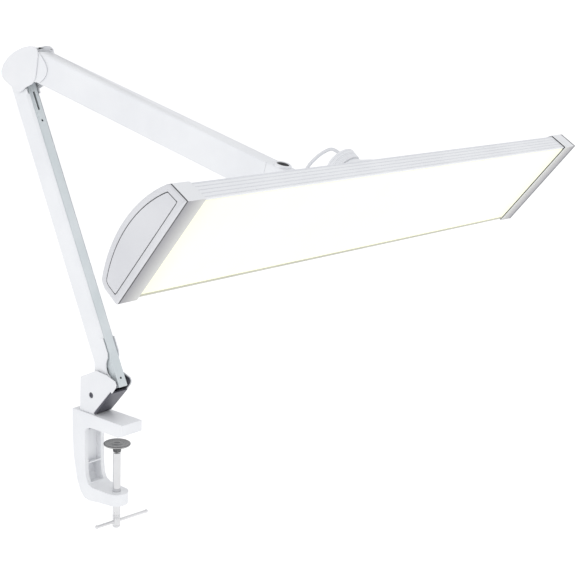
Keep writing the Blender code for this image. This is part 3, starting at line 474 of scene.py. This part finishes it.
# ---------------------------------------------------------------- clamp
def make_pad():
    """Dished pad with rings turned in its face."""
    low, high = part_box("pressure_pad")
    radius = (high.x - low.x) / 2
    top = high.z
    profile = [
        (0.0, top - 0.9 * MM),
        (2.4 * MM, top - 0.9 * MM),
        (3.1 * MM, top - 0.25 * MM),
        (6.2 * MM, top - 0.75 * MM),
        (9.8 * MM, top - 0.5 * MM),
        (radius - 1.0 * MM, top),
        (radius, top - 0.7 * MM),
        (radius - 0.3 * MM, top - 1.9 * MM),
        (8.0 * MM, top - 2.7 * MM),
        (4.6 * MM, top - 3.4 * MM),
        (4.1 * MM, top - 4.0 * MM),
        (4.05 * MM, low.z),
        (0.0, low.z),
    ]
    base = Vector((middle("pressure_pad").x, middle("pressure_pad").y, 0.0))
    pad = lathe("pressure_pad_finish", rounded(profile, 0.5 * MM), base, UP, MATS["pad_steel"])
    place(pad, "pressure_pad")


def make_screw():
    """Polished clamp screw with fine turned grooves near its foot."""
    low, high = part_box("clamp_screw")
    radius = (high.x - low.x) / 2
    profile = [(0.0, low.z), (radius - 1.0 * MM, low.z), (radius, low.z + 1.0 * MM)]
    bar_height = middle("tommy_bar").z
    grooves = [low.z + 2.2 * MM] + [bar_height + rise * MM for rise in (3.4, 5.0, 6.6)]
    for height in grooves:
        profile += [
            (radius, height),
            (radius - 0.35 * MM, height + 0.3 * MM),
            (radius - 0.35 * MM, height + 0.7 * MM),
            (radius, height + 1.0 * MM),
        ]
    top = high.z - 6.0 * MM
    profile += [(radius, top), (0.0, top)]
    base = Vector((middle("clamp_screw").x, middle("clamp_screw").y, 0.0))
    screw = lathe("clamp_screw_finish", profile, base, UP, MATS["chrome"])
    place(screw, "clamp_screw")


def make_bar():
    refined("tommy_bar", 0.25 * MM)


def outer_long_edges(along, least, test):
    """Edges that run along a direction for at least some length and pass a test of their middle."""
    def chosen(edge):
        a, b = (vert.co for vert in edge.verts)
        direction = b - a
        if direction.length < least:
            return False
        if abs(direction.normalized().dot(along)) < 0.999:
            return False
        return test((a + b) / 2)
    return chosen


def make_clamp():
    half = size("clamp_frame").y / 2

    def outside(edge):
        a, b = (vert.co for vert in edge.verts)
        if len(edge.link_faces) != 2:
            return False
        if edge.calc_face_angle(0.0) < math.radians(40):
            return False
        on_side = abs(abs(a.y) - half) < 1e-5 and abs(abs(b.y) - half) < 1e-5
        front = min(a.x, b.x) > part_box("clamp_frame")[1].x - 1e-5
        return on_side or front

    refined("clamp_frame", 0.5 * MM, outside, 1.5 * MM)
    refined("swivel_washer", 0.15 * MM)


# ---------------------------------------------------------------- arms
def make_base():
    refined("base_bracket", 0.3 * MM)
    for side in ("left", "right"):
        refined(f"base_cover_{side}", 0.35 * MM)
        refined(f"base_cover_screw_{side}", 0.15 * MM)


def make_lower_arm():
    offset = size("lower_arm_shell").y / 2

    def back_corner(point):
        return abs(abs(point.y) - offset) < 1e-5 and (point - LOWER_PIVOT).dot(LOWER_OUT) < 0

    refined("lower_arm_shell", 0.3 * MM, outer_long_edges(LOWER_ALONG, 0.1, back_corner), 1.8 * MM)
    channel_half = size("lower_arm_channel").y / 2

    def channel_corner(point):
        front = (point - LOWER_PIVOT).dot(LOWER_OUT) > 0.014
        return front and abs(abs(point.y) - channel_half) < 1e-5

    refined("lower_arm_channel", 0.15 * MM, outer_long_edges(LOWER_ALONG, 0.1, channel_corner), 0.8 * MM)


def make_elbow():
    refined("elbow_bracket", 0.25 * MM)
    for side in ("left", "right"):
        refined(f"elbow_cover_{side}", 0.45 * MM, segments=4)


def make_upper_arm():
    half = size("upper_arm_shell").y / 2
    up = UPPER_ALONG.cross(ACROSS)
    if up.z < 0:
        up = -up

    def top_corner(point):
        return abs(abs(point.y) - half) < 1e-5 and (point - UPPER_PIVOT).dot(up) > 0.01

    refined("upper_arm_shell", 0.3 * MM, outer_long_edges(UPPER_ALONG, 0.1, top_corner), 2.3 * MM)
    refined("upper_arm_cover", 0.3 * MM)
    refined("arm_end_block", 0.3 * MM, outer_long_edges(UPPER_ALONG, 0.01, top_corner), 2.3 * MM)


def make_bush():
    """Socket bush with a near-black disc in its mouth, painted shade of the bore."""
    base = joint_point("head_pan")
    heights = [(vert.co - base).dot(BORE) for vert in frame["nodes"]["socket_bush"].data.vertices]
    bottom, top = min(heights), max(heights)
    collar = top - 2.5 * MM
    profile = [
        (4.85 * MM, bottom),
        (6.4 * MM, bottom),
        (6.4 * MM, collar),
        (7.4 * MM, collar),
        (7.4 * MM, top - 0.7 * MM),
        (6.6 * MM, top),
        (5.9 * MM, top),
        (5.5 * MM, top - 0.5 * MM),
        (4.85 * MM, top - 1.2 * MM),
        (4.85 * MM, bottom),
    ]
    # near-black disc: painted shade in the bore's mouth
    disc = [
        (0.0, top - 0.9 * MM),
        (5.2 * MM, top - 0.9 * MM),
        (5.2 * MM, top - 0.6 * MM),
        (0.0, top - 0.6 * MM),
    ]
    shade = lathe("socket_bore_painted_shade", disc, base, BORE, MATS["dark"])
    place(shade, body=BODY_OF["socket_bush"], slot="nylon")
    bush = lathe("socket_bush_finish", profile, base, BORE, MATS["white_plastic"])
    place(bush, "socket_bush")


# ---------------------------------------------------------------- head joint
def furthest_back(node):
    """Largest distance of a node's points along the head's back axis."""
    base = joint_point("head_spin")
    return max((vert.co - base).dot(BACK) for vert in frame["nodes"][node].data.vertices)


def make_knuckle():
    """Ribbed collar over the fork's tongue."""
    refined("tilt_knuckle", 0.2 * MM)
    bottom, radius = COLLAR_BOTTOM, COLLAR_RADIUS
    top = furthest_back("tilt_knuckle")
    pitch = (top - 1.6 * MM - bottom) / COLLAR_RIBS
    profile = [(COLLAR_CORE, bottom), (radius - 0.6 * MM, bottom)]
    for k in range(COLLAR_RIBS):
        start = bottom + k * pitch
        profile += [
            (radius - 0.45 * MM, start + 0.1 * pitch),
            (radius, start + 0.3 * pitch),
            (radius, start + 0.7 * pitch),
            (radius - 0.45 * MM, start + 0.9 * pitch),
        ]
    profile += [
        (radius - 0.4 * MM, top - 1.3 * MM),
        (radius - 1.4 * MM, top - 0.3 * MM),
        (radius - 3.0 * MM, top + 0.05 * MM),
        (COLLAR_CORE, top - 1.0 * MM),
        (COLLAR_CORE, bottom),
    ]
    profile = rounded(profile, 0.2 * MM, 3)
    collar = lathe("collar_ribs", profile, joint_point("head_spin"), BACK, MATS["white_plastic"])
    place(collar, body="knuckle", slot="white_plastic")


def make_joint_parts():
    refined("pan_link", 0.3 * MM)
    refined("head_boss", 0.25 * MM)


def catmull_rom(points, steps):
    """A smooth curve through the points."""
    result = []
    padded = [points[0]] + points + [points[-1]]
    for i in range(1, len(padded) - 2):
        p0, p1, p2, p3 = padded[i - 1:i + 3]
        for k in range(steps):
            t = k / steps
            b = (p2 - p0) * t
            c = (2 * p0 - 5 * p1 + 4 * p2 - p3) * t * t
            d = (3 * p1 - p0 - 3 * p2 + p3) * t * t * t
            result.append((2 * p1 + b + c + d) * 0.5)
    result.append(points[-1])
    return result


def make_lead():
    """Lead drawn as a tube along its route between the pan link and the knuckle, fixed in place."""
    points = catmull_rom([Vector(point) * MM for point in LEAD_ROUTE], 10)
    bm = bmesh.new()
    sides = 16
    rings = []
    for k, point in enumerate(points):
        ahead = points[min(k + 1, len(points) - 1)]
        behind = points[max(k - 1, 0)]
        tangent = (ahead - behind).normalized()
        side = tangent.cross(ACROSS).normalized()
        other = tangent.cross(side)
        ring = []
        for j in range(sides):
            angle = 2 * math.pi * j / sides
            out = (side * math.cos(angle) + other * math.sin(angle)) * LEAD_DIAMETER / 2
            ring.append(bm.verts.new(point + out))
        rings.append(ring)
    for lower, upper in zip(rings, rings[1:]):
        bridge(bm, lower, upper)
    bm.faces.new(rings[0])
    bm.faces.new(rings[-1])
    lead = closed_object("head_lead_finish", bm, MATS["cable"])
    smooth(lead, 50.0)
    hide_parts("head_lead")
    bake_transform(lead)


# ---------------------------------------------------------------- head
def head_point(down, out, y):
    """A point from the front top edge of the head: down its face, out of its back, along its length."""
    return HEAD_CORNER + DOWN_FACE * down + BACK * out + ACROSS * y


def find_head_corner():
    """The front top corner of the end plate, in the XZ plane."""
    verts = [vert.co for vert in frame["nodes"]["end_plate_left"].data.vertices]
    front = min(vert.dot(BACK) for vert in verts)
    top = min(vert.dot(DOWN_FACE) for vert in verts if vert.dot(BACK) < front + 2e-4)
    corner = BACK * front + DOWN_FACE * top
    return Vector((corner.x, 0.0, corner.z))


HEAD_CORNER = find_head_corner()


def strip(name, section, half, mat):
    """A section of (down, out) points in millimetres, drawn along the head to both sides."""
    bm = bmesh.new()
    near = [bm.verts.new(head_point(down * MM, out * MM, -half)) for down, out in section]
    far = [bm.verts.new(head_point(down * MM, out * MM, half)) for down, out in section]
    bm.faces.new(near)
    bm.faces.new(list(reversed(far)))
    bridge(bm, near, far)
    obj = closed_object(name, bm, mat)
    smooth(obj, 30.0)
    return obj


def make_housing():
    """Housing with grey strips along its front top wall, painted as the shade in its fine grooves."""
    refined("head_housing", 0.25 * MM)
    half = size("head_housing").y / 2 - 12.0 * MM
    for number, out in enumerate(FLUTES, start=1):
        wall = out / WALL_DEPTH * WALL_LEAN + WALL_START
        front, back = out - 0.25, out + 0.25
        section = [(wall - 0.2, front), (wall - 0.15, back), (wall + 0.5, back), (wall + 0.5, front)]
        flute = strip(f"housing_flute_shade_strip_{number}", section, half, MATS["flute"])
        place(flute, body="head", slot="white_paint")
    place(strip("housing_top_painted_shade", TOP_LINE, half, MATS["flute"]), body="head", slot="white_paint")


def plate_outline(side):
    """The end plate's outline as points in its inner plane, in order."""
    verts = [vert.co for vert in frame["nodes"][f"end_plate_{side}"].data.vertices]
    near = min(abs(vert.y) for vert in verts)
    points = [vert for vert in verts if abs(vert.y) < near + 5e-5]
    centre = sum(points, Vector()) / len(points)

    def turn(point):
        return math.atan2((point - centre).dot(BACK), (point - centre).dot(DOWN_FACE))

    points.sort(key=turn)
    dense = []
    for here, after in zip(points, points[1:] + points[:1]):
        steps = max(1, round((after - here).length / OUTLINE_STEP))
        dense += [here.lerp(after, k / steps) for k in range(steps)]
    return dense


def inset_outline(points, amount):
    """A convex outline moved inwards by an amount, with its corners slightly rounded."""
    centre = sum(points, Vector()) / len(points)
    sides = []
    for here, after in zip(points, points[1:] + points[:1]):
        if (after - here).length > 1e-5:
            outward = (after - here).normalized().cross(ACROSS)
            if outward.dot(here - centre) < 0:
                outward = -outward
            sides.append((outward, (here - centre).dot(outward) - amount))
    moved = []
    for point in points:
        ray = point - centre
        reach = min(far / ray.dot(outward) for outward, far in sides if ray.dot(outward) > 1e-6)
        moved.append(centre + ray * min(1.0, reach))
    return moved


def slab(name, outline, y0, y1, mat):
    """An outline drawn between two places along the head."""
    bm = bmesh.new()
    near = [bm.verts.new((point.x, y0, point.z)) for point in outline]
    far = [bm.verts.new((point.x, y1, point.z)) for point in outline]
    bm.faces.new(near)
    bm.faces.new(list(reversed(far)))
    bridge(bm, near, far)
    return closed_object(name, bm, mat)


def stepped_plate(side, outline, y0, y1):
    """End plate with a rolled rim, a thin groove whose dark floor is a painted-shade strip, and a flat panel
    inside it.
    """
    sign = -1 if y1 < 0 else 1
    depth = abs(y1 - y0)
    rim = [                      # millimetres inside the outline, and height in metres
        (0.9, 0.0),
        (0.9, 0.9 * MM),
        (0.0, 1.0 * MM),
        (0.05, 1.7 * MM),
        (0.4, depth - 0.3 * MM),
        (1.1, depth),
        (GROOVE_INSET - 1.0, depth),
        (GROOVE_INSET - 0.5, depth - 0.25 * MM),
        (GROOVE_INSET, depth - 0.3 * MM),
        (GROOVE_INSET + 0.15, depth - 0.9 * MM),
        (GROOVE_INSET + 0.6, depth - 0.9 * MM),
        (GROOVE_INSET + 0.75, depth - 0.3 * MM),
    ]
    bm = bmesh.new()
    loops = []
    for inset, rise in rim:
        ring = inset_outline(outline, inset * MM) if inset else outline
        loops.append([bm.verts.new((point.x, y0 + sign * rise, point.z)) for point in ring])
    for below, above in zip(loops, loops[1:]):
        bridge(bm, below, above)
    bm.faces.new(loops[0])
    bm.faces.new(loops[-1])
    plate = closed_object(f"end_plate_{side}_finish", bm, MATS["plate"])
    smooth(plate, 35.0)
    return place(plate, f"end_plate_{side}")


def groove_painted_shade(side, outline, y1):
    """Near-black strip at the bottom of the plate's groove: painted shade of the recess."""
    sign = -1 if y1 < 0 else 1
    level = y1 - sign * 0.55 * MM
    outer = inset_outline(outline, (GROOVE_INSET + 0.05) * MM)
    inner = inset_outline(outline, (GROOVE_INSET + 0.70) * MM)
    bm = bmesh.new()
    loops = []
    floor = level - sign * 0.3 * MM
    for ring, y in ((outer, level), (inner, level), (inner, floor), (outer, floor)):
        loops.append([bm.verts.new((point.x, y, point.z)) for point in ring])
    for below, above in zip(loops, loops[1:] + loops[:1]):
        bridge(bm, below, above)
    line = closed_object(f"groove_painted_shade_{side}", bm, MATS["gap_painted_shade"])
    place(line, body="head", slot="white_plastic")


def make_caps():
    """End caps, and a near-black slab between each one and its plate, painted shade of the seam between them."""
    for side in ("left", "right"):
        # cap fronts take the painted shade gradient of their material
        refined(f"end_cap_{side}", 0.7 * MM, segments=4, mat="cap")
        low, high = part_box(f"end_plate_{side}")
        y0, y1 = (low.y, high.y) if high.y > 0 else (high.y, low.y)
        sign = 1 if y1 > 0 else -1
        outline = plate_outline(side)
        stepped_plate(side, outline, y0, y1)
        groove_painted_shade(side, outline, y1)
        # near-black slab showing as a thin line: painted shade in the seam between cap and plate
        ends = (y0 - sign * 0.8 * MM, y0 + sign * 0.95 * MM)
        seam = slab(f"cap_seam_painted_shade_{side}", inset_outline(outline, 0.03 * MM), *ends, MATS["gap_painted_shade"])
        place(seam, body="head", slot="white_plastic")


def make_diffuser():
    """Lit sheet with the lip below it, and the button."""
    refined("diffuser", 0.2 * MM)
    refined("power_button", 0.3 * MM)
    end = size("head_housing").y / 2 - 11.2 * MM
    place(strip("lens_lip", LIP, end, MATS["lip"]), body="head", slot="white_plastic")


def finish_hidden():
    """Finishes for the CAD pieces that stay as they are."""
    for name, node in frame["nodes"].items():
        if node.hide_render:
            continue
        node.data.materials.clear()
        node.data.materials.append(MATS[SLOT_OF[name]])


# ---------------------------------------------------------------- studio
def area_light(name, location, power):
    """A soft square light that faces the lamp."""
    light = bpy.data.lights.new(name, "AREA")
    light.energy = power
    light.size = LIGHT_WIDTH
    obj = bpy.data.objects.new(name, light)
    bpy.context.scene.collection.objects.link(obj)
    obj.location = location
    direction = Vector(LIGHT_TARGET) - Vector(location)
    obj.rotation_euler = direction.to_track_quat("-Z", "Y").to_euler()


def make_studio():
    """Plain white surroundings: a floor with walls far away, an even sky and two soft lights."""
    world = bpy.data.worlds.new("studio")
    bpy.context.scene.world = world
    world.use_nodes = True
    background = world.node_tree.nodes["Background"]
    background.inputs["Color"].default_value = (0.985, 0.99, 1.0, 1.0)
    background.inputs["Strength"].default_value = WORLD_STRENGTH
    mesh = bpy.data.meshes.new("floor")
    reach = FLOOR_REACH
    height = cad_floor() - FLOOR_DROP
    corners = [(-reach, -reach), (reach, -reach), (reach, reach), (-reach, reach)]
    points = [(x, y, z) for z in (height, height + BACKDROP_HEIGHT) for x, y in corners]
    walls = [(k, (k + 1) % 4, (k + 1) % 4 + 4, k + 4) for k in range(4)]
    mesh.from_pydata(points, [], [(0, 1, 2, 3)] + walls)
    paper = surface("studio_paper", (0.96, 0.96, 0.96), (0.97, 0.97, 0.97), 0.7, grain=400.0, bump=0.01)
    shader = shader_of(paper)
    shader.inputs["Emission Color"].default_value = (1.0, 1.0, 1.0, 1.0)
    shader.inputs["Emission Strength"].default_value = FLOOR_GLOW
    floor = new_object("floor", mesh, paper)
    area_light("key", (0.9, -1.6, 1.3), 3.0)
    area_light("fill", (1.9, 0.4, 0.9), 1.0)


def cad_floor():
    """Height of the clamp screw's foot."""
    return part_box("clamp_screw")[0].z


def make_camera():
    data = bpy.data.cameras.new("camera")
    data.sensor_width = SENSOR
    data.lens = LENS
    obj = bpy.data.objects.new("camera", data)
    bpy.context.scene.collection.objects.link(obj)
    forward = CAMERA_FORWARD.normalized()
    right = (CAMERA_RIGHT - forward * CAMERA_RIGHT.dot(forward)).normalized()
    up = right.cross(forward)
    obj.matrix_world = Matrix((
        (right.x, up.x, -forward.x, CAMERA_PLACE.x),
        (right.y, up.y, -forward.y, CAMERA_PLACE.y),
        (right.z, up.z, -forward.z, CAMERA_PLACE.z),
        (0.0, 0.0, 0.0, 1.0),
    ))
    bpy.context.scene.camera = obj


def set_colour():
    scene = bpy.context.scene
    scene.view_settings.view_transform = "Standard"
    scene.view_settings.look = "None"


make_camera()
make_lead()
make_clamp()
make_pad()
make_screw()
make_bar()
make_base()
make_lower_arm()
make_elbow()
make_upper_arm()
make_bush()
make_knuckle()
make_joint_parts()
make_housing()
make_caps()
make_diffuser()
finish_hidden()
make_studio()
set_colour()
